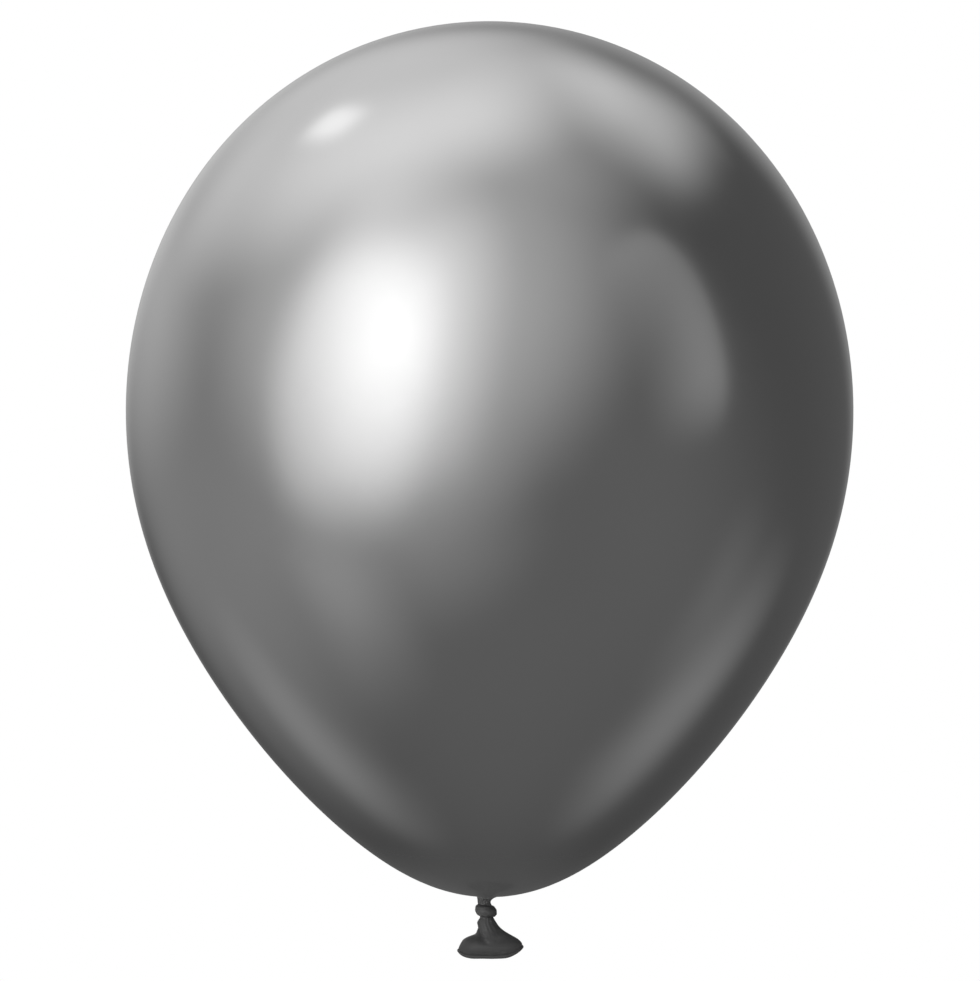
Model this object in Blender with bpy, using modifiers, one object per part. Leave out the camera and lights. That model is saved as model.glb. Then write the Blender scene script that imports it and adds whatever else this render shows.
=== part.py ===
"""A chrome latex balloon, blown up to 30 cm and tied off with its own neck.

Units are metres. +Z is up, +X is to the right and -Y is the front. The origin is on the
envelope's axis, at the height of the waist where the neck is thinnest and a ribbon is tied.
"""
import math

import bmesh
import bpy
from mathutils import Vector

# Envelope. Its outline is given by the radius to which the skin bends at each angle that it
# has turned through, from 0 degrees at the top to 180 degrees at the throat.
ENVELOPE_TOP = 0.3615
DOME_BEND = 0.1435
THROAT_BEND = 0.0639
SIDE_EXTRA_BEND = 0.0367        # the sides bend more gently than the dome
SIDE_ANGLE = math.radians(95)
SIDE_SPREAD = math.radians(37)
TAPER_EXTRA_BEND = 0.1846       # the taper towards the neck is nearly straight
TAPER_ANGLE = math.radians(129)
TAPER_SPREAD = math.radians(14)
SKIN = 0.0004                   # thicker than the real film, so that it is a sound solid
THROAT_RADIUS = 0.006
ENVELOPE_SEGMENTS = 48
ENVELOPE_RINGS = 28
OUTLINE_STEPS = 2000

# Gap left between touching solids.
GAP = 0.0003

# Neck: sections from the collar in the throat down to the second waist, below the knot.
# Each is a height, the place of its centre along X, and its radius.
COLLAR_RADIUS = THROAT_RADIUS - GAP
COLLAR_THICKNESS = 0.0006
WAIST_CENTRE = -0.0023
WAIST_RADIUS = 0.0026
CORE_CENTRE = -0.0017
CORE_RADIUS = 0.0018
NECK_END = -0.0069
NECK_END_CENTRE = -0.0012
NECK_END_RADIUS = 0.0029
NECK_SIDES = 40
PLEATS = 10
PLEAT_DEPTH = 0.08              # of the section's radius

# Knot: the turn of the neck that is pulled tight around the core.
KNOT_CENTRE = Vector((-0.00157, 0.0, -0.0037))
KNOT_RADIUS = 0.00455
KNOT_BAND = 0.0023              # thickness of the turn, from the core outwards
KNOT_HEIGHT = 0.0050
KNOT_TILT = math.radians(7)     # its left side is higher than its right

# Tail: the unblown end of the neck. Each section is the height of its left and right edges,
# the places of those edges along X, and its half depth.
TAIL_SECTIONS = (
    (NECK_END - GAP, -0.0042, 0.0018, 0.0029),
    (-0.0086, -0.0051, 0.0028, 0.0033),
    (-0.0103, -0.0049, 0.0040, 0.0040),
    (-0.0120, -0.0052, 0.0059, 0.0048),
    (-0.0133, -0.0062, 0.0079, 0.0057),
    (-0.0143, -0.0085, 0.0097, 0.0064),
    (-0.0154, -0.0105, 0.0115, 0.0070),
    (-0.0168, -0.0117, 0.0130, 0.0074),
    (-0.0184, -0.0126, 0.0135, 0.0072),
)
TAIL_HOLLOW_FROM = 3            # section at which the hollow ends, counted from the top
TAIL_WALL = 0.0005
TAIL_SIDES = 40

# Lip: the rolled bead around the mouth. The front and back of the mouth hang lower than its
# ends, and its left end hangs lower than its right.
LIP_BEAD = 0.0008
LIP_CENTRE = 0.0003
LIP_HALF_WIDTH = 0.0129
LIP_HALF_DEPTH = 0.0067
LIP_HEIGHT = -0.01945
MOUTH_DROOP = 0.00245
MOUTH_TILT = 0.00075
LIP_POINTS = 48


def clear_scene():
    for thing in list(bpy.data.objects):
        bpy.data.objects.remove(thing, do_unlink=True)


def new_collection(name):
    collection = bpy.data.collections.new(name)
    bpy.context.scene.collection.children.link(collection)
    return collection


def make_material(name, colour, roughness, metallic):
    material = bpy.data.materials.new(name)
    material.use_nodes = True
    shader = material.node_tree.nodes["Principled BSDF"]
    shader.inputs["Base Color"].default_value = (*colour, 1.0)
    shader.inputs["Roughness"].default_value = roughness
    shader.inputs["Metallic"].default_value = metallic
    return material


def add_object(name, mesh, collection, material):
    thing = bpy.data.objects.new(name, mesh)
    thing.data.materials.append(material)
    collection.objects.link(thing)
    return thing


def bump(value, centre, spread):
    """A smooth hill, 1 at its centre and near 0 beyond twice its spread."""
    return math.exp(-((value - centre) / spread) ** 2)


def ease(value):
    """A smooth step from 0 to 1."""
    value = min(max(value, 0.0), 1.0)
    return value * value * (3.0 - 2.0 * value)


def bend_radius(turned):
    """The radius to which the envelope's outline bends where it has turned this far."""
    below_side = (turned - math.pi / 2) / (math.pi / 2)
    radius = DOME_BEND + (THROAT_BEND - DOME_BEND) * ease(below_side)
    radius += SIDE_EXTRA_BEND * bump(turned, SIDE_ANGLE, SIDE_SPREAD)
    radius += TAPER_EXTRA_BEND * bump(turned, TAPER_ANGLE, TAPER_SPREAD)
    return radius


def envelope_outline(rings):
    """Radius and height of the outline at equal steps along it, from the top to the throat."""
    step = math.pi / OUTLINE_STEPS
    fine = [(0.0, ENVELOPE_TOP, 0.0)]
    for index in range(OUTLINE_STEPS):
        turned = (index + 0.5) * step
        along = bend_radius(turned) * step
        radius, height, length = fine[-1]
        radius += along * math.cos(turned)
        height -= along * math.sin(turned)
        if turned > math.pi / 2 and radius < THROAT_RADIUS:
            break
        fine.append((radius, height, length + along))
    total = fine[-1][2]
    points = []
    for ring in range(rings + 1):
        wanted = total * ring / rings
        nearest = min(fine, key=lambda point: abs(point[2] - wanted))
        points.append(nearest[:2])
    return points


def make_envelope(collection, material, outline):
    """The skin: its outline turned about Z and thickened inwards, open at the throat."""
    mesh = bpy.data.meshes.new("envelope")
    vertices = [(radius, 0.0, height) for radius, height in outline]
    edges = [(index, index + 1) for index in range(len(outline) - 1)]
    mesh.from_pydata(vertices, edges, [])
    envelope = add_object("envelope", mesh, collection, material)
    turn = envelope.modifiers.new("turn", "SCREW")
    turn.steps = ENVELOPE_SEGMENTS
    turn.render_steps = ENVELOPE_SEGMENTS
    turn.use_merge_vertices = True
    turn.merge_threshold = 0.00001
    wall = envelope.modifiers.new("wall", "SOLIDIFY")
    wall.thickness = SKIN
    wall.offset = -1.0
    return envelope


def loft(name, rings, collection, material):
    """A solid through rings of points, closed by a flat face at its first and last ring."""
    mesh = bpy.data.meshes.new(name)
    solid = bmesh.new()
    rows = [[solid.verts.new(point) for point in ring] for ring in rings]
    sides = len(rows[0])
    for upper, lower in zip(rows, rows[1:]):
        for index in range(sides):
            after = (index + 1) % sides
            solid.faces.new((upper[index], upper[after], lower[after], lower[index]))
    solid.faces.new(rows[0])
    solid.faces.new(rows[-1])
    bmesh.ops.recalc_face_normals(solid, faces=solid.faces)
    solid.to_mesh(mesh)
    solid.free()
    mesh.shade_smooth()
    return add_object(name, mesh, collection, material)


def pleated_ring(height, centre, radius, pleat_depth):
    """A level ring of the neck, fluted by its pleats."""
    points = []
    for index in range(NECK_SIDES):
        angle = 2 * math.pi * index / NECK_SIDES
        reach = radius * (1 + pleat_depth * math.cos(PLEATS * angle))
        points.append(Vector((centre + reach * math.cos(angle), reach * math.sin(angle), height)))
    return points


def make_neck(collection, material, throat_height):
    """The collar that fills the throat, the waist, and the core inside the knot."""
    rim = throat_height + COLLAR_THICKNESS
    sections = (
        (rim, 0.0, COLLAR_RADIUS, 0.0),
        (throat_height, 0.0, COLLAR_RADIUS, 0.0),
        (throat_height * 0.75, WAIST_CENTRE * 0.4, 0.0046, PLEAT_DEPTH / 2),
        (throat_height * 0.45, WAIST_CENTRE * 0.8, 0.0034, PLEAT_DEPTH),
        (throat_height * 0.15, WAIST_CENTRE, 0.0028, PLEAT_DEPTH),
        (-0.0004, WAIST_CENTRE, WAIST_RADIUS, PLEAT_DEPTH),
        (-0.0012, CORE_CENTRE, CORE_RADIUS, 0.0),
        (-0.0062, CORE_CENTRE, CORE_RADIUS, 0.0),
        (NECK_END + GAP, NECK_END_CENTRE, NECK_END_RADIUS, PLEAT_DEPTH),
        (NECK_END, NECK_END_CENTRE, NECK_END_RADIUS, PLEAT_DEPTH),
    )
    rings = [pleated_ring(*section) for section in sections]
    return loft("neck", rings, collection, material)


def make_knot(collection, material):
    """The tight turn of the neck: a flattened, tilted ring around the core."""
    bpy.ops.mesh.primitive_torus_add(
        major_segments=32, minor_segments=14,
        major_radius=KNOT_RADIUS - KNOT_BAND / 2, minor_radius=KNOT_BAND / 2)
    knot = bpy.context.object
    knot.name = "knot"
    knot.data.name = "knot"
    knot.data.materials.append(material)
    knot.data.shade_smooth()
    knot.scale.z = KNOT_HEIGHT / KNOT_BAND
    knot.rotation_euler.y = KNOT_TILT
    knot.location = KNOT_CENTRE
    knot.users_collection[0].objects.unlink(knot)
    collection.objects.link(knot)
    return knot


def mouth_level(angle):
    """How far the mouth's edge lies above its height at the sides: it droops towards the front and
    the back, sooner on its left than on its right, and its right corner is the higher one."""
    side = math.cos(angle)
    return MOUTH_TILT * side ** 3 - MOUTH_DROOP * (1 - abs(side) ** (4.8 - 1.2 * side))


def tail_ring(section, inset, openness):
    """An oval ring of the tail, whose front and back hang lower the nearer it is to the mouth."""
    height, left, right, half_depth = section
    centre = (left + right) / 2
    half_width = (right - left) / 2 - inset
    points = []
    for index in range(TAIL_SIDES):
        angle = 2 * math.pi * index / TAIL_SIDES
        points.append(Vector((
            centre + half_width * math.cos(angle),
            (half_depth - inset) * math.sin(angle),
            height + openness * mouth_level(angle))))
    return points


def make_tail(collection, material):
    """The flared end of the neck: down its outside to the mouth, then up its hollow inside."""
    last = len(TAIL_SECTIONS) - 1
    rings = []
    for index, section in enumerate(TAIL_SECTIONS):
        rings.append(tail_ring(section, 0.0, (index / last) ** 2))
    for index in range(last, TAIL_HOLLOW_FROM - 1, -1):
        rings.append(tail_ring(TAIL_SECTIONS[index], TAIL_WALL, (index / last) ** 2))
    return loft("tail", rings, collection, material)


def make_lip(collection, material):
    """The rolled bead: a round tube that follows the mouth."""
    curve = bpy.data.curves.new("lip", "CURVE")
    curve.dimensions = "3D"
    curve.bevel_depth = LIP_BEAD
    curve.bevel_resolution = 2
    path = curve.splines.new("POLY")
    path.points.add(LIP_POINTS - 1)
    path.use_cyclic_u = True
    for index in range(LIP_POINTS):
        angle = 2 * math.pi * index / LIP_POINTS
        path.points[index].co = (
            LIP_CENTRE + LIP_HALF_WIDTH * math.cos(angle),
            LIP_HALF_DEPTH * math.sin(angle),
            LIP_HEIGHT + mouth_level(angle), 1.0)
    return add_object("lip", curve, collection, material)


def main():
    clear_scene()
    collection = new_collection("chrome_latex_balloon")
    chrome = make_material("chrome_latex", (0.30, 0.30, 0.30), 0.20, 1.0)
    slack = make_material("slack_latex", (0.06, 0.06, 0.06), 0.45, 0.8)
    outline = envelope_outline(ENVELOPE_RINGS)
    throat_height = outline[-1][1]
    make_envelope(collection, chrome, outline)
    make_neck(collection, slack, throat_height)
    make_knot(collection, slack)
    make_tail(collection, slack)
    make_lip(collection, slack)


main()
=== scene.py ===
"""The looks of a chrome latex balloon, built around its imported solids.

Units are metres, in the solids' own frame: +Z is up, +X is to the right, -Y is the front, and the
origin is on the envelope's axis at the height of the neck's waist.
"""
import math

import bmesh
import bpy
import numpy as np
from mathutils import Matrix, Vector

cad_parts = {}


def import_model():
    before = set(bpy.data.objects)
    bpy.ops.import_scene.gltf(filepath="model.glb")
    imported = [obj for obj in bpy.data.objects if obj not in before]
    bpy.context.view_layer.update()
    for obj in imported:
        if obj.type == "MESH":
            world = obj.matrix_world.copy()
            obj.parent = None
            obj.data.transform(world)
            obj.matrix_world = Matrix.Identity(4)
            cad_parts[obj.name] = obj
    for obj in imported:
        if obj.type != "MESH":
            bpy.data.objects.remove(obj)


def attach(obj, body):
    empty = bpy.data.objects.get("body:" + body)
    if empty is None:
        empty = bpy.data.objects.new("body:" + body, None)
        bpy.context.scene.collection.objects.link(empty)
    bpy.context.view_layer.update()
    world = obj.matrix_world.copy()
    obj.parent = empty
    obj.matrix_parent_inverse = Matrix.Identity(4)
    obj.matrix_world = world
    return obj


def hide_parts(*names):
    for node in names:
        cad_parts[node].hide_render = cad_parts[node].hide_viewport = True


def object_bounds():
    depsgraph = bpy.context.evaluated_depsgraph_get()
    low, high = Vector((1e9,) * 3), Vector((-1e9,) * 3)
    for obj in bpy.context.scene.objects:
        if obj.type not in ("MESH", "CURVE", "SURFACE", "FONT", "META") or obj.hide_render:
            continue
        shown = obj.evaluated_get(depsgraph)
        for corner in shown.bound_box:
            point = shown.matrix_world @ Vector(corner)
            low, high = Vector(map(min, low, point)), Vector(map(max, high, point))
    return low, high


# Envelope. Its outline is given by the radius to which the skin bends at each angle that it has
# turned through, from 0 degrees at the top to 180 degrees at the throat.
ENVELOPE_TOP = 0.3615
DOME_BEND = 0.1435
THROAT_BEND = 0.0639
SIDE_EXTRA_BEND = 0.0367
SIDE_ANGLE = math.radians(95)
SIDE_SPREAD = math.radians(37)
TAPER_EXTRA_BEND = 0.1846
TAPER_ANGLE = math.radians(129)
TAPER_SPREAD = math.radians(14)
OUTLINE_SAMPLES = 4001
THROAT_RADIUS = 0.006
SKIN = 0.0004
WALL_EDGE_ANGLE = math.radians(60)
ENVELOPE_SIDES = 192
ENVELOPE_RINGS = 110
THROAT_RINGS = 24
THROAT_ZONE = 0.026             # radius below which the rings lie closer together

# Pleats: the skin gathers into uneven folds towards the neck. Waves around a ring are given by
# their number, their height and their phase.
PLEATS = 11
PLEAT_SHIFTS = ((2, 0.17, 1.1), (3, 0.08, 2.3))
RIDGE_MEAN = 0.64               # mean height of a row of ridges, about 2 / pi
PLEAT_REACH = 0.017             # radius at which the pleats begin
THROAT_PLEAT = 0.00008
WAIST_PLEAT = 0.00016
NECK_TWIST = 0.5                # radians that the pleats turn on their way down

# Neck: it leaves the throat nearly straight on its left side and in a wide curve on its right.
# A side is given by its sign along X, the waist's edge, the length of the curve's handle at the
# throat, the height of the handle that leads down to the waist, and the core's edge in the knot.
NECK_LEFT = dict(side=-1, waist=-0.00495, fillet=0.0006, drop=0.0013, core=-0.0040)
NECK_RIGHT = dict(side=1, waist=0.00035, fillet=0.0034, drop=0.0009, core=0.0012)
WAIST_HEIGHT = -0.0002
CORE_TOP = -0.0026
STEM_HEIGHTS = (WAIST_HEIGHT, -0.0012, -0.0016, CORE_TOP)       # of a curve's ends and handles
CORE_HEIGHTS = (CORE_TOP, -0.0040, -0.0060, -0.0072)
TUCK = 0.0006                   # how far the neck's upper edge reaches out beyond the throat
TUCK_RISE = 0.0002              # and how far above the skin's outside, so within its wall
GATHER_PACE = 2.2               # the pleats are at their deepest from 1 / 2.2 of the way down
COLLAR_RINGS = 26
STEM_RINGS = 12
CORE_RINGS = 10
NECK_SIDES = 176

# Knot: one flattened turn of the neck around its own core, its ends tucked in at the back.
KNOT_CENTRE = Vector((-0.00157, 0.0, -0.00375))
KNOT_TURN_RADIUS = 0.00268
KNOT_HALF_THICKNESS = 0.00175
KNOT_HALF_HEIGHT = 0.00245
KNOT_LEAN = math.radians(4.5)           # how far the turn's band leans in at its top, all round
KNOT_LEAN_CHANGE = math.radians(19.5)   # and how much more on the right, and less on the left
KNOT_TURNS = 1.22
KNOT_DROP = 0.0005              # half of the height that the turn loses on its way round
KNOT_TUCK_POWER = 6             # the higher, the closer to its ends the turn tucks in
KNOT_TUCK_IN = 0.5              # share of its radius by which it tucks in there
KNOT_TUCK_THIN = 0.45           # and share of its thickness that it loses
KNOT_SWELL = ((3.1, 0.04, 0.6),)
KNOT_FLUTES = 8
KNOT_FLUTE_HEIGHT = 0.055       # as a share of the turn's thickness
KNOT_FLUTE_TWIST = 0.8
KNOT_STEPS = 120
KNOT_SIDES = 72
KNOT_VOXEL = 0.00014
KNOT_SOFTENING = 0.5
KNOT_SOFTENINGS = 3

# Tail: places of its left and right edges along X and half its depth, by height.
TAIL_LEFT = (
    (-0.0064, -0.0038), (-0.0070, -0.0042), (-0.0086, -0.0051), (-0.0103, -0.00485),
    (-0.0120, -0.0052), (-0.0136, -0.0064), (-0.0144, -0.0086), (-0.0154, -0.0105),
    (-0.0170, -0.0118), (-0.0186, -0.0126), (-0.0202, -0.0131),
)
TAIL_RIGHT = (
    (-0.0064, 0.0015), (-0.0070, 0.0018), (-0.0086, 0.0028), (-0.0103, 0.0040),
    (-0.0120, 0.0059), (-0.0136, 0.0085), (-0.0154, 0.0116), (-0.0170, 0.0132),
    (-0.0187, 0.0136),
)
TAIL_HALF_DEPTH = (
    (-0.0064, 0.00265), (-0.0090, 0.0034), (-0.0115, 0.0045), (-0.0135, 0.0058),
    (-0.0152, 0.0069), (-0.0166, 0.0075), (-0.0180, 0.0074), (-0.01945, 0.0067),
)
TAIL_TOP = -0.0064
TAIL_WALL = 0.0003
TAIL_SIDES = 176
TAIL_RINGS = 72

# Folds of the tail. Levels are shares of its height, from its top down, and angles are radians.
TAIL_PLEAT = 0.00013
TAIL_PLEAT_TURN = 0.8
TAIL_PLEAT_FADE = 1.25          # the pleats are gone from 1 / 1.25 of the way down
CREASE_DEPTH = 0.0007           # the fold that crosses the tail from its left edge
CREASE_SPREAD = 0.19
CREASE_ANGLE = 3.3              # where it lies at CREASE_LEVEL
CREASE_LEVEL = 0.36
CREASE_SWING = 1.8              # the most that it swings round below that level
CREASE_SWING_PACE = 3.6
CREASE_BEGINS, CREASE_DEEPENING = 0.26, 8
CREASE_FADES, CREASE_FADING = 0.56, 5
SWELLING = 0.0004               # below the crease, on the front
SWELLING_ANGLE = (4.05, 0.42)   # its middle and its spread
SWELLING_LEVEL = (0.76, 0.16)

# Lip: the rolled bead around the mouth.
LIP_BEAD = 0.0008
LIP_CENTRE = 0.0003
LIP_HALF_WIDTH = 0.0129
LIP_HALF_DEPTH = 0.0067
LIP_HEIGHT = -0.01945
MOUTH_DROOP = 0.00245
MOUTH_TILT = 0.00075
MOUTH_CORNER = 4.8              # the higher, the sooner the mouth droops away from its corners
MOUTH_CORNER_CHANGE = 1.2       # and how much less on the right, and more on the left
LIP_GROOVE = 0.14               # depth of the line where the roll closes, as a share of the bead
LIP_GROOVE_AT = (2.3, 0.28)     # angle around the bead, and spread
LIP_WAVES = ((5, 0.05, 0.4), (11, 0.03, 0.0))
LIP_STEPS = 240
LIP_SIDES = 22

# Latex. A noise varies a value between the two of a pair. Tones are greys, 1 is white.
NOISE_LOW, NOISE_HIGH = 0.3, 0.7
CHROME_TONE = (0.296, 0.304)
CHROME_FLAKE = (-0.006, 0.006)
CHROME_ROUGHNESS = (0.170, 0.195)
# Painted light: the tone is lighter near the throat, against the dark reflection of the knot and
# tail.
CHROME_THROAT_PAINTED_LIGHT = (0.0, 0.028, 1.20, 1.0)          # two heights, and the tone's factor at each
CHROME_DULLER = (0.0, 0.035, 0.36, 0.0)         # and what is added to the roughness at each
SLACK_MOTTLE = (0.91, 1.09)
SLACK_METAL = 0.15
SLACK_ROUGHNESS = (0.56, 0.66)
SLACK_DARKER_BELOW = (-0.0205, -0.0090, 0.85, 1.0)      # two heights and factors, as above
# Painted light: the slack latex is lighter on its right, where the lamps on the left leave it in
# shade.
SLACK_RIGHT_PAINTED_LIGHT = (-0.008, 0.010, 0.92, 1.5)  # two places along X, and the factor at each
CREASE_STRETCH = (1.0, 1.0, 0.25)               # fine creases are four times as long upwards

# Camera: level, facing the front.
IMAGE_LONG_SIDE = 981
CAMERA_DISTANCE = 1.3
CAMERA_RIGHT = 0.00015
CAMERA_HEIGHT = 0.1695
FOCAL_PIXELS = 3152
SENSOR = 36.0

# Studio. Directions are seen from the middle of the envelope: azimuth from the camera's side,
# positive to the right, and elevation above the horizon, both in degrees.
STUDIO_CENTRE = Vector((0.0, 0.0, 0.185))
PANEL_DISTANCE = 1.7
PANEL_CORNERS = 3.0             # a panel with 2 is an ellipse, and a higher number is squarer
FLOOR_DROP = 1.9
FLOOR_RADIUS = 3.4
FLOOR_FADE = (0.35, 0.98)       # shares of its radius between which the floor fades out
FLOOR_SIDES = 96
FLOOR_PALE = (0.82, 0.82, 0.82, 1.0)
WHITE = (1.0, 1.0, 1.0, 1.0)
BACKDROP_WHITE = math.radians(22)       # the backdrop is white this far from straight behind
BACKDROP_END = math.radians(65)         # and here it has turned into the room's pale grey
ROOM_TONE = 0.72
ROOM_LEVEL = 0.115

# Broad, soft lights of the room: azimuth, elevation, the angle at which each ends, its strength.
ROOM_LIGHTS = {
    "front_below": (4, -42, 104, 0.188),
    "right_side": (95, 5, 75, 0.07),
    "left_side": (-100, -5, 62, 0.42),
    "front_glow": (-26, 37, 76, 0.97),
    "ceiling": (-128, 65, 50, 1.40),
    "ceiling_right": (100, 71, 35, 0.25),
    "behind": (180, 20, 36, 0.27),
}

# Glowing panels. make_panel and glow say what their values mean.
PANELS = {
    "key_softbox": dict(at=(-42, 8), half_size=(31, 41), strength=0.84, soft=0.6, roll=-8),
    "key_centre": dict(at=(-28, 20), half_size=(35, 46), strength=1.46, soft=1.0),
    "left_back_reflector": dict(at=(-138, 20), half_size=(46, 30), strength=0.52, soft=1.0),
    "back_softbox": dict(at=(122, 57), half_size=(31, 20), strength=0.90, soft=0.9, roll=-15),
    "back_lamp": dict(at=(-115, 57), half_size=(9, 7), strength=1.15, soft=0.7, roll=45),
    "right_screen": dict(
        at=(57, 17), half_size=(18, 27), strength=0.42, soft=0.2, roll=13, fade=(0.8, 0.3)),
    "lower_left_strip": dict(at=(-120, -50), half_size=(14, 29), strength=0.25, soft=1.0),
    "lower_front_glow": dict(at=(-30, -28), half_size=(46, 30), strength=0.32, soft=1.0),
    "lower_front_strip": dict(at=(-56, -44), half_size=(20, 24), strength=0.25, soft=1.0),
    "lower_right_strip": dict(at=(113, -44), half_size=(16, 31), strength=0.32, soft=1.0),
    "lower_right_glow": dict(at=(92, -34), half_size=(13, 24), strength=0.12, soft=1.0),
}


def ease(value):
    """A smooth step from 0 to 1, for numbers and arrays."""
    value = np.clip(value, 0.0, 1.0)
    return value * value * (3.0 - 2.0 * value)


def hill(value, centre, spread):
    """A smooth hill, 1 at its centre."""
    return np.exp(-((value - centre) / spread) ** 2)


def ridges(phase):
    """Rounded ridges with creases between them, one for each half turn of the phase."""
    return np.abs(np.cos(phase)) - RIDGE_MEAN


def with_waves(value, angle, waves):
    """A value to which waves around a ring are added."""
    for count, height, phase in waves:
        value = value + height * np.sin(count * angle + phase)
    return value


def circle(sides):
    """Even angles all the way round."""
    return np.arange(sides) * (2 * math.pi / sides)


def smooth_through(points, wanted):
    """The smooth curve through (height, value) points, from the top down, at the wanted heights."""
    heights = np.array([height for height, value in points])
    values = np.array([value for height, value in points])
    slopes = np.gradient(values, heights)
    order = np.argsort(heights)
    heights, values, slopes = heights[order], values[order], slopes[order]
    wanted = np.clip(wanted, heights[0], heights[-1])
    left = np.clip(np.searchsorted(heights, wanted) - 1, 0, len(heights) - 2)
    width = heights[left + 1] - heights[left]
    share = (wanted - heights[left]) / width
    start_weight = (1 + 2 * share) * (1 - share) ** 2
    end_weight = share ** 2 * (3 - 2 * share)
    start_slope = share * (1 - share) ** 2 * width
    end_slope = share ** 2 * (share - 1) * width
    return (start_weight * values[left] + end_weight * values[left + 1]
            + start_slope * slopes[left] + end_slope * slopes[left + 1])


# Meshes

def add_mesh(name, vertices, faces, material):
    """A new piece of the scene."""
    mesh = bpy.data.meshes.new(name)
    mesh.from_pydata([tuple(vertex) for vertex in vertices], [], faces)
    mesh.validate()
    mesh.materials.append(material)
    piece = bpy.data.objects.new(name, mesh)
    bpy.context.scene.collection.objects.link(piece)
    tidy_normals(piece)
    return piece


def tidy_normals(piece):
    """Turns the faces outwards and shades them smooth."""
    solid = bmesh.new()
    solid.from_mesh(piece.data)
    bmesh.ops.recalc_face_normals(solid, faces=solid.faces)
    solid.to_mesh(piece.data)
    solid.free()
    piece.data.shade_smooth()


def apply_modifiers(piece):
    """Makes a piece's modifiers part of its mesh, smooth but for the edges of its walls."""
    depsgraph = bpy.context.evaluated_depsgraph_get()
    mesh = bpy.data.meshes.new_from_object(piece.evaluated_get(depsgraph))
    old = piece.data
    piece.modifiers.clear()
    piece.data = mesh
    bpy.data.meshes.remove(old)
    mesh.name = piece.name
    mesh.shade_smooth()
    mesh.set_sharp_from_angle(angle=WALL_EDGE_ANGLE)


def thicken(piece, thickness):
    """Turns a surface into a wall whose outside is where the surface was."""
    wall = piece.modifiers.new("wall", "SOLIDIFY")
    wall.thickness = thickness
    wall.offset = -1.0
    apply_modifiers(piece)


def band_faces(rings, sides, first=0, closed_along=False):
    """Quads between rings of vertices that are numbered ring by ring."""
    faces = []
    spans = rings if closed_along else rings - 1
    for ring in range(spans):
        for side in range(sides):
            here = first + ring * sides
            below = first + (ring + 1) % rings * sides
            after = (side + 1) % sides
            faces.append((here + side, here + after, below + after, below + side))
    return faces


def tube_faces(rings, sides):
    """The faces of a tube that is closed at both ends."""
    last = (rings - 1) * sides
    ends = [tuple(range(sides)), tuple(range(last, last + sides))]
    return band_faces(rings, sides) + ends


def sweep(name, centres, outwards, sections, material, closed_along=False):
    """A tube: around each centre, a section's points, as far outwards and upwards as they say."""
    count, sides = sections.shape[:2]
    upwards = np.array([0.0, 0.0, 1.0])
    vertices = (centres[:, None, :] + sections[..., :1] * outwards[:, None, :]
                + sections[..., 1:] * upwards)
    if closed_along:
        faces = band_faces(count, sides, closed_along=True)
    else:
        faces = tube_faces(count, sides)
    return add_mesh(name, vertices.reshape(-1, 3), faces, material)


# Form of the envelope and neck

def envelope_outline():
    """Fine samples of the outline: turned angle, radius, height and length from the top."""
    turned = np.linspace(0.0, math.pi, OUTLINE_SAMPLES)
    middle = (turned[1:] + turned[:-1]) / 2
    bend = DOME_BEND + (THROAT_BEND - DOME_BEND) * ease((middle - math.pi / 2) / (math.pi / 2))
    bend = bend + SIDE_EXTRA_BEND * hill(middle, SIDE_ANGLE, SIDE_SPREAD)
    bend = bend + TAPER_EXTRA_BEND * hill(middle, TAPER_ANGLE, TAPER_SPREAD)
    step = bend * np.diff(turned)
    radius = np.concatenate([[0.0], np.cumsum(step * np.cos(middle))])
    height = ENVELOPE_TOP - np.concatenate([[0.0], np.cumsum(step * np.sin(middle))])
    length = np.concatenate([[0.0], np.cumsum(step)])
    return turned, radius, height, length


def outline_at(radius):
    """Turned angle, height and length of the outline where its lower half has this radius."""
    turned, radii, heights, lengths = envelope_outline()
    lower = turned > math.pi / 2
    order = np.argsort(radii[lower])
    return [float(np.interp(radius, radii[lower][order], values[lower][order]))
            for values in (turned, heights, lengths)]


def pleat_wave(angle):
    """The folds around the neck, of uneven width."""
    return ridges(PLEATS / 2 * with_waves(angle, angle, PLEAT_SHIFTS))


def make_envelope(material):
    """The skin, turned from its outline, with the first faint pleats around the throat."""
    turned, radii, heights, lengths = envelope_outline()
    _, _, zone_length = outline_at(THROAT_ZONE)
    _, _, throat_length = outline_at(THROAT_RADIUS)
    upper = np.linspace(0.0, zone_length, ENVELOPE_RINGS + 1)[1:]
    lower = np.linspace(zone_length, throat_length, THROAT_RINGS + 1)[1:]
    at = np.concatenate([upper, lower])
    bend = np.interp(at, lengths, turned)[:, None]
    radius = np.interp(at, lengths, radii)[:, None]
    height = np.interp(at, lengths, heights)[:, None]
    angle = circle(ENVELOPE_SIDES)[None, :]
    pleated = ease((PLEAT_REACH - radius) / (PLEAT_REACH - THROAT_RADIUS)) * (bend > math.pi / 2)
    raised = THROAT_PLEAT * pleated * pleat_wave(angle)
    reach = radius + raised * np.sin(bend)
    level = height + raised * np.cos(bend) + 0 * angle
    rings = np.stack([reach * np.cos(angle), reach * np.sin(angle), level], axis=-1)
    vertices = [(0.0, 0.0, ENVELOPE_TOP)] + [tuple(point) for point in rings.reshape(-1, 3)]
    faces = [(0, 1 + (side + 1) % ENVELOPE_SIDES, 1 + side) for side in range(ENVELOPE_SIDES)]
    faces += band_faces(len(at), ENVELOPE_SIDES, first=1)
    envelope = add_mesh("envelope_skin", vertices, faces, material)
    thicken(envelope, SKIN)
    return envelope


def bezier(start, start_handle, end_handle, end, count):
    """Points (place along X, height) on a curve between two places, with a handle at each."""
    share = np.linspace(0.0, 1.0, count)[:, None]
    points = [np.array(point) for point in (start, start_handle, end_handle, end)]
    return (points[0] * (1 - share) ** 3 + 3 * points[1] * share * (1 - share) ** 2
            + 3 * points[2] * share ** 2 * (1 - share) + points[3] * share ** 3)


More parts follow.
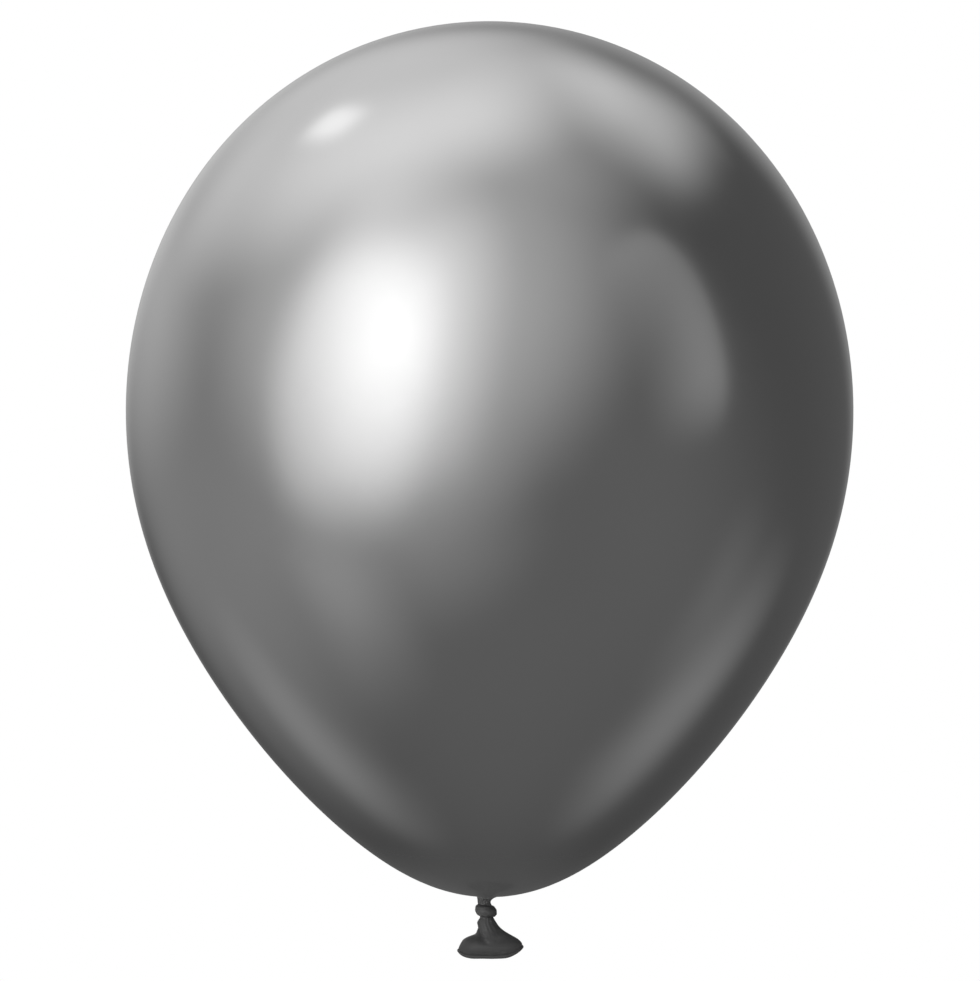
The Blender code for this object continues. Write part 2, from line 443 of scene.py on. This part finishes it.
def neck_side(side, waist, fillet, drop, core):
    """The neck's edge on one side: tuck under the skin, collar, waist, and the core in the knot."""
    bend, throat_height, _ = outline_at(THROAT_RADIUS)
    _, tuck_height, _ = outline_at(THROAT_RADIUS + TUCK)
    tuck = [(side * (THROAT_RADIUS + TUCK), tuck_height + TUCK_RISE)]
    throat = (side * THROAT_RADIUS, throat_height)
    handle = (
        side * (THROAT_RADIUS + fillet * math.cos(bend)),
        throat_height - fillet * math.sin(bend),
    )
    collar = bezier(throat, handle, (waist, drop), (waist, WAIST_HEIGHT), COLLAR_RINGS)
    stem = bezier(*zip((waist, waist, core, core), STEM_HEIGHTS), STEM_RINGS)[1:]
    hidden = bezier(*zip((core, core, core, core), CORE_HEIGHTS), CORE_RINGS)[1:]
    return np.vstack([tuck, collar, stem, hidden])


def make_neck(material):
    """From the throat's edge in through the gathered collar, down the waist and into the knot."""
    left = neck_side(**NECK_LEFT)
    right = neck_side(**NECK_RIGHT)
    middle = ((left + right) / 2)[:, None, :]
    radius = ((right - left) / 2)[:, :1]
    slant = ((right - left) / 2)[:, 1:]
    progress = np.linspace(0.0, 1.0, len(left))[:, None]
    gathered = ease(progress * GATHER_PACE)
    depth = THROAT_PLEAT + (WAIST_PLEAT - THROAT_PLEAT) * gathered
    angle = circle(NECK_SIDES)[None, :]
    reach = radius + depth * pleat_wave(angle + NECK_TWIST * gathered)
    rings = np.stack([
        middle[..., 0] + reach * np.cos(angle),
        reach * np.sin(angle),
        middle[..., 1] + slant * np.cos(angle)], axis=-1)
    faces = tube_faces(len(left), NECK_SIDES)
    return add_mesh("neck_stem", rings.reshape(-1, 3), faces, material)


# Form of the knot, tail and lip

def make_knot(material):
    """The turn of the neck, fluted along its length, fused where its ends pass each other."""
    share = np.linspace(-1.0, 1.0, KNOT_STEPS)
    angle = -math.pi / 2 + share * math.pi * KNOT_TURNS
    outwards = np.stack([np.cos(angle), np.sin(angle), 0 * angle], axis=-1)
    tucked = np.abs(share) ** KNOT_TUCK_POWER
    turn = KNOT_TURN_RADIUS * (1 - KNOT_TUCK_IN * tucked)
    centres = outwards * turn[:, None]
    centres[:, 2] = -KNOT_DROP * share
    centres = centres + np.array(KNOT_CENTRE)
    size = (1 - KNOT_TUCK_THIN * tucked) * with_waves(1.0, angle, KNOT_SWELL)
    around = circle(KNOT_SIDES)[None, :]
    twist = KNOT_FLUTE_TWIST * share[:, None]
    flutes = 1 + KNOT_FLUTE_HEIGHT * ridges(KNOT_FLUTES / 2 * around + twist)
    thick = KNOT_HALF_THICKNESS * size[:, None] * flutes * np.cos(around)
    tall = KNOT_HALF_HEIGHT * size[:, None] * flutes * np.sin(around)
    lean = (KNOT_LEAN + KNOT_LEAN_CHANGE * np.cos(angle))[:, None]
    across = thick * np.cos(lean) - tall * np.sin(lean)
    up = thick * np.sin(lean) + tall * np.cos(lean)
    knot = sweep("knot_turn", centres, outwards, np.stack([across, up], axis=-1), material)
    fuse = knot.modifiers.new("fuse", "REMESH")
    fuse.mode = "VOXEL"
    fuse.voxel_size = KNOT_VOXEL
    soften = knot.modifiers.new("soften", "SMOOTH")
    soften.factor = KNOT_SOFTENING
    soften.iterations = KNOT_SOFTENINGS
    apply_modifiers(knot)
    return knot


def mouth_level(angle):
    """How far the mouth's edge lies above its height at the sides: it droops towards the front and
    the back, sooner on its left than on its right, and its right corner is the higher one."""
    side = np.cos(angle)
    droop = 1 - np.abs(side) ** (MOUTH_CORNER - MOUTH_CORNER_CHANGE * side)
    return MOUTH_TILT * side ** 3 - MOUTH_DROOP * droop


def tail_edges(height, opened):
    """Places along X of the tail's left and right edges on the ring of this height."""
    left = smooth_through(TAIL_LEFT, height - MOUTH_TILT * opened)
    right = smooth_through(TAIL_RIGHT, height + MOUTH_TILT * opened)
    return left, right


def tail_folds(share, angle):
    """How far the tail's pleats, its crease and the swelling below it raise its surface."""
    pleats = TAIL_PLEAT * pleat_wave(angle + TAIL_PLEAT_TURN)
    pleats = pleats * (1 - ease(share * TAIL_PLEAT_FADE))
    swing = CREASE_SWING * (1 - np.exp(-CREASE_SWING_PACE * (share - CREASE_LEVEL)))
    crease = -CREASE_DEPTH * hill(angle, CREASE_ANGLE + swing, CREASE_SPREAD)
    begun = ease((share - CREASE_BEGINS) * CREASE_DEEPENING)
    gone = ease((share - CREASE_FADES) * CREASE_FADING)
    crease = crease * (begun * (1 - gone))
    swelling = SWELLING * hill(angle, *SWELLING_ANGLE) * hill(share, *SWELLING_LEVEL)
    return pleats + crease + swelling


def make_tail(material):
    """The flared end of the neck: a thin skirt with folds that run out towards the mouth."""
    share = np.linspace(0.0, 1.0, TAIL_RINGS)
    opened = share ** 2
    level = TAIL_TOP + (LIP_HEIGHT - TAIL_TOP) * share
    left, right = tail_edges(level, opened)
    centre = ((left + right) / 2)[:, None]
    half_width = ((right - left) / 2)[:, None]
    half_depth = smooth_through(TAIL_HALF_DEPTH, level)[:, None]
    angle = circle(TAIL_SIDES)[None, :]
    raised = tail_folds(share[:, None], angle)
    rings = np.stack([
        centre + (half_width + raised) * np.cos(angle),
        (half_depth + raised) * np.sin(angle),
        level[:, None] + opened[:, None] * mouth_level(angle)], axis=-1)
    faces = band_faces(TAIL_RINGS, TAIL_SIDES)
    tail = add_mesh("tail_skirt", rings.reshape(-1, 3), faces, material)
    thicken(tail, TAIL_WALL)
    return tail


def make_lip(material):
    """The rolled bead, with the line where the roll closes on itself."""
    angle = circle(LIP_STEPS)
    centres = np.stack([
        LIP_CENTRE + LIP_HALF_WIDTH * np.cos(angle),
        LIP_HALF_DEPTH * np.sin(angle),
        LIP_HEIGHT + mouth_level(angle)], axis=-1)
    outwards = np.stack([
        np.cos(angle) / LIP_HALF_WIDTH,
        np.sin(angle) / LIP_HALF_DEPTH,
        0 * angle], axis=-1)
    outwards = outwards / np.linalg.norm(outwards, axis=1)[:, None]
    around = circle(LIP_SIDES)[None, :]
    groove = 1 - LIP_GROOVE * hill(around, *LIP_GROOVE_AT)
    reach = LIP_BEAD * groove * with_waves(1.0, angle, LIP_WAVES)[:, None]
    sections = np.stack([reach * np.cos(around), reach * np.sin(around)], axis=-1)
    return sweep("lip_bead", centres, outwards, sections, material, closed_along=True)


# Materials

class Nodes:
    """A short way to add and join shader nodes."""

    def __init__(self, tree):
        self.tree = tree

    @classmethod
    def cleared(cls, owner):
        """The emptied node tree of a new material or world."""
        owner.use_nodes = True
        owner.node_tree.nodes.clear()
        return cls(owner.node_tree)

    def add(self, kind, settings=None, **inputs):
        """A new node with these settings and inputs."""
        node = self.tree.nodes.new(kind)
        for name, value in (settings or {}).items():
            setattr(node, name, value)
        self.feed(node, **inputs)
        return node

    def feed(self, node, **inputs):
        """Sets a node's inputs by name, with _ for a space."""
        for name, value in inputs.items():
            self.give(node.inputs[name.replace("_", " ")], value)

    def give(self, socket, value):
        """Sets a socket to a value or to another node's output."""
        if isinstance(value, bpy.types.NodeSocket):
            self.tree.links.new(value, socket)
        else:
            socket.default_value = value

    def pair(self, kind, settings, first, second):
        """A new node with its first two inputs set."""
        node = self.add(kind, settings)
        self.give(node.inputs[0], first)
        self.give(node.inputs[1], second)
        return node

    def math(self, operation, first, second=0.0):
        return self.pair("ShaderNodeMath", {"operation": operation}, first, second).outputs[0]

    def map(self, value, low, high, to_low=0.0, to_high=1.0, kind="SMOOTHSTEP"):
        """The value between low and high, turned into one between to_low and to_high."""
        node = self.add("ShaderNodeMapRange", {"interpolation_type": kind})
        for name, given in zip(("Value", "From Min", "From Max", "To Min", "To Max"),
                               (value, low, high, to_low, to_high)):
            self.give(node.inputs[name], given)
        return node.outputs["Result"]

    def blend(self, share, low, high):
        """From low where the share is 0 to high where it is 1."""
        return self.map(share, 0.0, 1.0, low, high, "LINEAR")

    def noise(self, place, scale, detail=3.0):
        node = self.add("ShaderNodeTexNoise", Vector=place, Scale=scale, Detail=detail)
        return node.outputs["Fac"]

    def vary(self, noise, low, high):
        """A value that a noise varies between low and high."""
        return self.map(noise, NOISE_LOW, NOISE_HIGH, low, high, "LINEAR")

    def grey(self, value):
        """A neutral grey from a number."""
        colour = self.add("ShaderNodeCombineColor", Red=value, Green=value, Blue=value)
        return colour.outputs["Color"]

    def bump(self, height, strength, distance):
        """The surface's direction where it is raised a little by a height."""
        node = self.add("ShaderNodeBump", Strength=strength, Distance=distance, Height=height)
        return node.outputs["Normal"]

    def join(self, kind, first, second, **inputs):
        """A shader that adds or mixes two shaders, which are its last two inputs."""
        node = self.add(kind, **inputs)
        for socket, shader in zip(list(node.inputs)[-2:], (first, second)):
            self.tree.links.new(shader.outputs[0], socket)
        return node

    def show(self, kind, shader):
        """Makes a shader the surface of an output of this kind."""
        output = self.add(kind)
        self.tree.links.new(shader.outputs[0], output.inputs["Surface"])


def latex_nodes(name):
    """A material, its shader, where the surface is, how far to the right and how high."""
    material = bpy.data.materials.new(name)
    material.use_nodes = True
    nodes = Nodes(material.node_tree)
    shader = material.node_tree.nodes["Principled BSDF"]
    place = nodes.add("ShaderNodeTexCoord").outputs["Object"]
    parts = nodes.add("ShaderNodeSeparateXYZ", Vector=place)
    return material, nodes, shader, place, parts.outputs["X"], parts.outputs["Z"]


def chrome_latex():
    """Stretched latex with metal pigment: a satin mirror under a thin clear gloss. Towards the neck
    the latex is less stretched, so it is denser and duller there, and its tone is painted lighter
    there: painted light against the dark reflection of the knot and tail."""
    material, nodes, shader, place, _, height = latex_nodes("chrome_latex")
    mottle = nodes.vary(nodes.noise(place, scale=14.0), *CHROME_TONE)
    flake = nodes.vary(nodes.noise(place, scale=2600.0, detail=2.0), *CHROME_FLAKE)
    # Painted light: lighter near the throat, against the dark reflection of the knot and tail
    # there.
    throat_painted_light = nodes.map(height, *CHROME_THROAT_PAINTED_LIGHT)
    tone = nodes.math("MULTIPLY", nodes.math("ADD", mottle, flake), throat_painted_light)
    satin = nodes.vary(nodes.noise(place, scale=60.0), *CHROME_ROUGHNESS)
    duller = nodes.map(height, *CHROME_DULLER)
    nodes.feed(
        shader,
        Base_Color=nodes.grey(tone),
        Metallic=1.0,
        Roughness=nodes.math("ADD", satin, duller),
        Coat_Weight=0.35,
        Coat_Roughness=0.08,
        Normal=nodes.bump(nodes.noise(place, scale=700.0), strength=0.05, distance=0.00005))
    return material


def slack_latex(name, low_tone, blend, top_tone, top_metal, top_roughness):
    """The same latex where it isn't stretched: darker, duller and finely creased, and painted a
    little lighter on the right, as painted light where the lamps on the left leave it in shade.
    Between the two heights in blend it turns into a shinier latex above."""
    material, nodes, shader, place, right, height = latex_nodes(name)
    stretched = nodes.add("ShaderNodeMapping", Vector=place, Scale=CREASE_STRETCH)
    creases = nodes.noise(stretched.outputs["Vector"], scale=2200.0, detail=4.0)
    mottle = nodes.noise(place, scale=400.0)
    upper = nodes.map(height, *blend)
    low_mottle, high_mottle = SLACK_MOTTLE
    tone = nodes.vary(mottle, low_mottle * low_tone, high_mottle * low_tone)
    tone = nodes.math("MULTIPLY", tone, nodes.map(height, *SLACK_DARKER_BELOW))
    # Painted light: lighter on the right, where the lamps on the left leave the latex in shade.
    tone = nodes.math("MULTIPLY", tone, nodes.map(right, *SLACK_RIGHT_PAINTED_LIGHT))
    rough = nodes.vary(mottle, *SLACK_ROUGHNESS)
    nodes.feed(
        shader,
        Base_Color=nodes.grey(nodes.blend(upper, tone, top_tone)),
        Metallic=nodes.blend(upper, SLACK_METAL, top_metal),
        Roughness=nodes.blend(upper, rough, top_roughness),
        Specular_IOR_Level=0.30,
        Coat_Weight=0.10,
        Coat_Roughness=0.30,
        Normal=nodes.bump(creases, strength=0.20, distance=0.00008))
    return material


# Studio

def direction(azimuth, elevation):
    """The unit vector towards a direction of the studio."""
    turn, rise = math.radians(azimuth), math.radians(elevation)
    away = math.cos(rise)
    return Vector((math.sin(turn) * away, -math.cos(turn) * away, math.sin(rise)))


def make_panel(name, at, half_size, strength, soft, roll=0.0, fade=(0.0, 0.0)):
    """A soft light: a glowing panel that faces the balloon. half_size is half its width and height
    in degrees as seen from there. A roll tips its top to the left."""
    towards = direction(*at)
    level, upright = direction(at[0] + 90, 0), direction(at[0], at[1] + 90)
    turn = math.radians(roll)
    across = level * math.cos(turn) + upright * math.sin(turn)
    along = upright * math.cos(turn) - level * math.sin(turn)
    width, depth = [2 * PANEL_DISTANCE * math.tan(math.radians(half)) for half in half_size]
    bpy.ops.mesh.primitive_plane_add(size=1.0)
    panel = bpy.context.object
    panel.name = name
    facing = Matrix((across, along, across.cross(along))).transposed().to_4x4()
    place = Matrix.Translation(STUDIO_CENTRE + towards * PANEL_DISTANCE)
    panel.matrix_world = place @ facing @ Matrix.Diagonal((width, depth, 1.0, 1.0))
    panel.data.materials.append(glow(name, strength, soft, fade))
    panel.visible_camera = False
    panel.visible_shadow = False


def glow(name, strength, soft, fade):
    """Light that adds to what is behind it and fades towards the panel's rounded edge over its
    outer share soft. It grows from the left and from below over the two shares in fade."""
    material = bpy.data.materials.new(name)
    nodes = Nodes.cleared(material)
    place = nodes.add("ShaderNodeTexCoord").outputs["UV"]
    parts = nodes.add("ShaderNodeSeparateXYZ", Vector=place)
    total = 0.0
    for axis in ("X", "Y"):
        side = nodes.math("SUBTRACT", nodes.math("MULTIPLY", parts.outputs[axis], 2.0), 1.0)
        power = nodes.math("POWER", nodes.math("ABSOLUTE", side), PANEL_CORNERS)
        total = nodes.math("ADD", power, total)
    edge = nodes.math("POWER", total, 1 / PANEL_CORNERS)
    level = nodes.map(edge, 1.0 - soft, 1.0, strength, 0.0)
    for axis, share in zip(("X", "Y"), fade):
        if share:
            level = nodes.math("MULTIPLY", level, nodes.map(parts.outputs[axis], 0.0, share))
    light = nodes.add("ShaderNodeEmission", Strength=level)
    clear = nodes.add("ShaderNodeBsdfTransparent")
    nodes.show("ShaderNodeOutputMaterial", nodes.join("ShaderNodeAddShader", light, clear))
    return material


def make_world():
    """To the camera a backdrop that is white behind the balloon and pale grey on the other sides,
    where the balloon's bright rim stands out from it, and to the balloon a dark room with broad
    soft lights."""
    world = bpy.data.worlds.new("studio")
    bpy.context.scene.world = world
    nodes = Nodes.cleared(world)
    place = nodes.add("ShaderNodeTexCoord").outputs["Generated"]
    level = ROOM_LEVEL
    for azimuth, elevation, end, strength in ROOM_LIGHTS.values():
        dot = nodes.pair("ShaderNodeVectorMath", {"operation": "DOT_PRODUCT"},
                         place, direction(azimuth, elevation))
        near = nodes.map(dot.outputs["Value"], math.cos(math.radians(end)), 1.0, 0.0, strength)
        level = nodes.math("ADD", near, level)
    behind = nodes.add("ShaderNodeSeparateXYZ", Vector=place).outputs["Y"]
    tone = nodes.map(behind, math.cos(BACKDROP_END), math.cos(BACKDROP_WHITE), ROOM_TONE, 1.0)
    room = nodes.add("ShaderNodeBackground", Strength=level, Color=WHITE)
    backdrop = nodes.add("ShaderNodeBackground", Strength=tone, Color=WHITE)
    seen = nodes.add("ShaderNodeLightPath").outputs["Is Camera Ray"]
    either = nodes.join("ShaderNodeMixShader", room, backdrop, Fac=seen)
    nodes.show("ShaderNodeOutputWorld", either)


def make_floor(low):
    """A pale floor well below the balloon, which fades out at its edge and is clear from below."""
    bpy.ops.mesh.primitive_circle_add(
        vertices=FLOOR_SIDES, radius=FLOOR_RADIUS, fill_type="NGON")
    floor = bpy.context.object
    floor.name = "floor"
    floor.location = (0.0, 0.0, low - FLOOR_DROP)
    material = bpy.data.materials.new("floor")
    nodes = Nodes.cleared(material)
    place = nodes.add("ShaderNodeTexCoord").outputs["Object"]
    away = nodes.add("ShaderNodeVectorMath", {"operation": "LENGTH"}, Vector=place).outputs["Value"]
    fade_from, fade_to = FLOOR_FADE
    gone = nodes.map(away, FLOOR_RADIUS * fade_from, FLOOR_RADIUS * fade_to)
    behind = nodes.add("ShaderNodeNewGeometry").outputs["Backfacing"]
    pale = nodes.add("ShaderNodeBsdfDiffuse", Color=FLOOR_PALE)
    clear = nodes.add("ShaderNodeBsdfTransparent")
    mixed = nodes.join("ShaderNodeMixShader", pale, clear, Fac=nodes.math("MAXIMUM", gone, behind))
    nodes.show("ShaderNodeOutputMaterial", mixed)
    floor.data.materials.append(material)
    floor.visible_glossy = False


def make_camera():
    """The camera at the photograph's viewing angle."""
    data = bpy.data.cameras.new("camera")
    data.sensor_width = SENSOR
    data.lens = FOCAL_PIXELS * SENSOR / IMAGE_LONG_SIDE
    camera = bpy.data.objects.new("camera", data)
    camera.location = (CAMERA_RIGHT, -CAMERA_DISTANCE, CAMERA_HEIGHT)
    camera.rotation_euler = (math.pi / 2, 0.0, 0.0)
    bpy.context.scene.collection.objects.link(camera)
    bpy.context.scene.camera = camera


def main():
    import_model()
    solid_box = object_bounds()
    chrome = chrome_latex()
    gathered = slack_latex(
        "gathered_latex", low_tone=0.074, blend=(0.0014, 0.0023),
        top_tone=0.32, top_metal=1.0, top_roughness=0.56)
    slack = slack_latex(
        "slack_latex", low_tone=0.043, blend=(-0.0066, -0.0036),
        top_tone=0.072, top_metal=0.3, top_roughness=0.64)
    made = (
        (make_envelope(chrome), "envelope", "chrome_latex"),
        (make_neck(gathered), "neck", "slack_latex"),
        (make_knot(slack), "knot", "slack_latex"),
        (make_tail(slack), "tail", "slack_latex"),
        (make_lip(slack), "lip", "slack_latex"),
    )
    for piece, node, slot in made:
        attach(piece, "root")
        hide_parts(node)
    make_world()
    for name, settings in PANELS.items():
        make_panel(name, **settings)
    make_floor(solid_box[0].z)
    make_camera()
    bpy.context.scene.view_settings.view_transform = "Standard"


main()
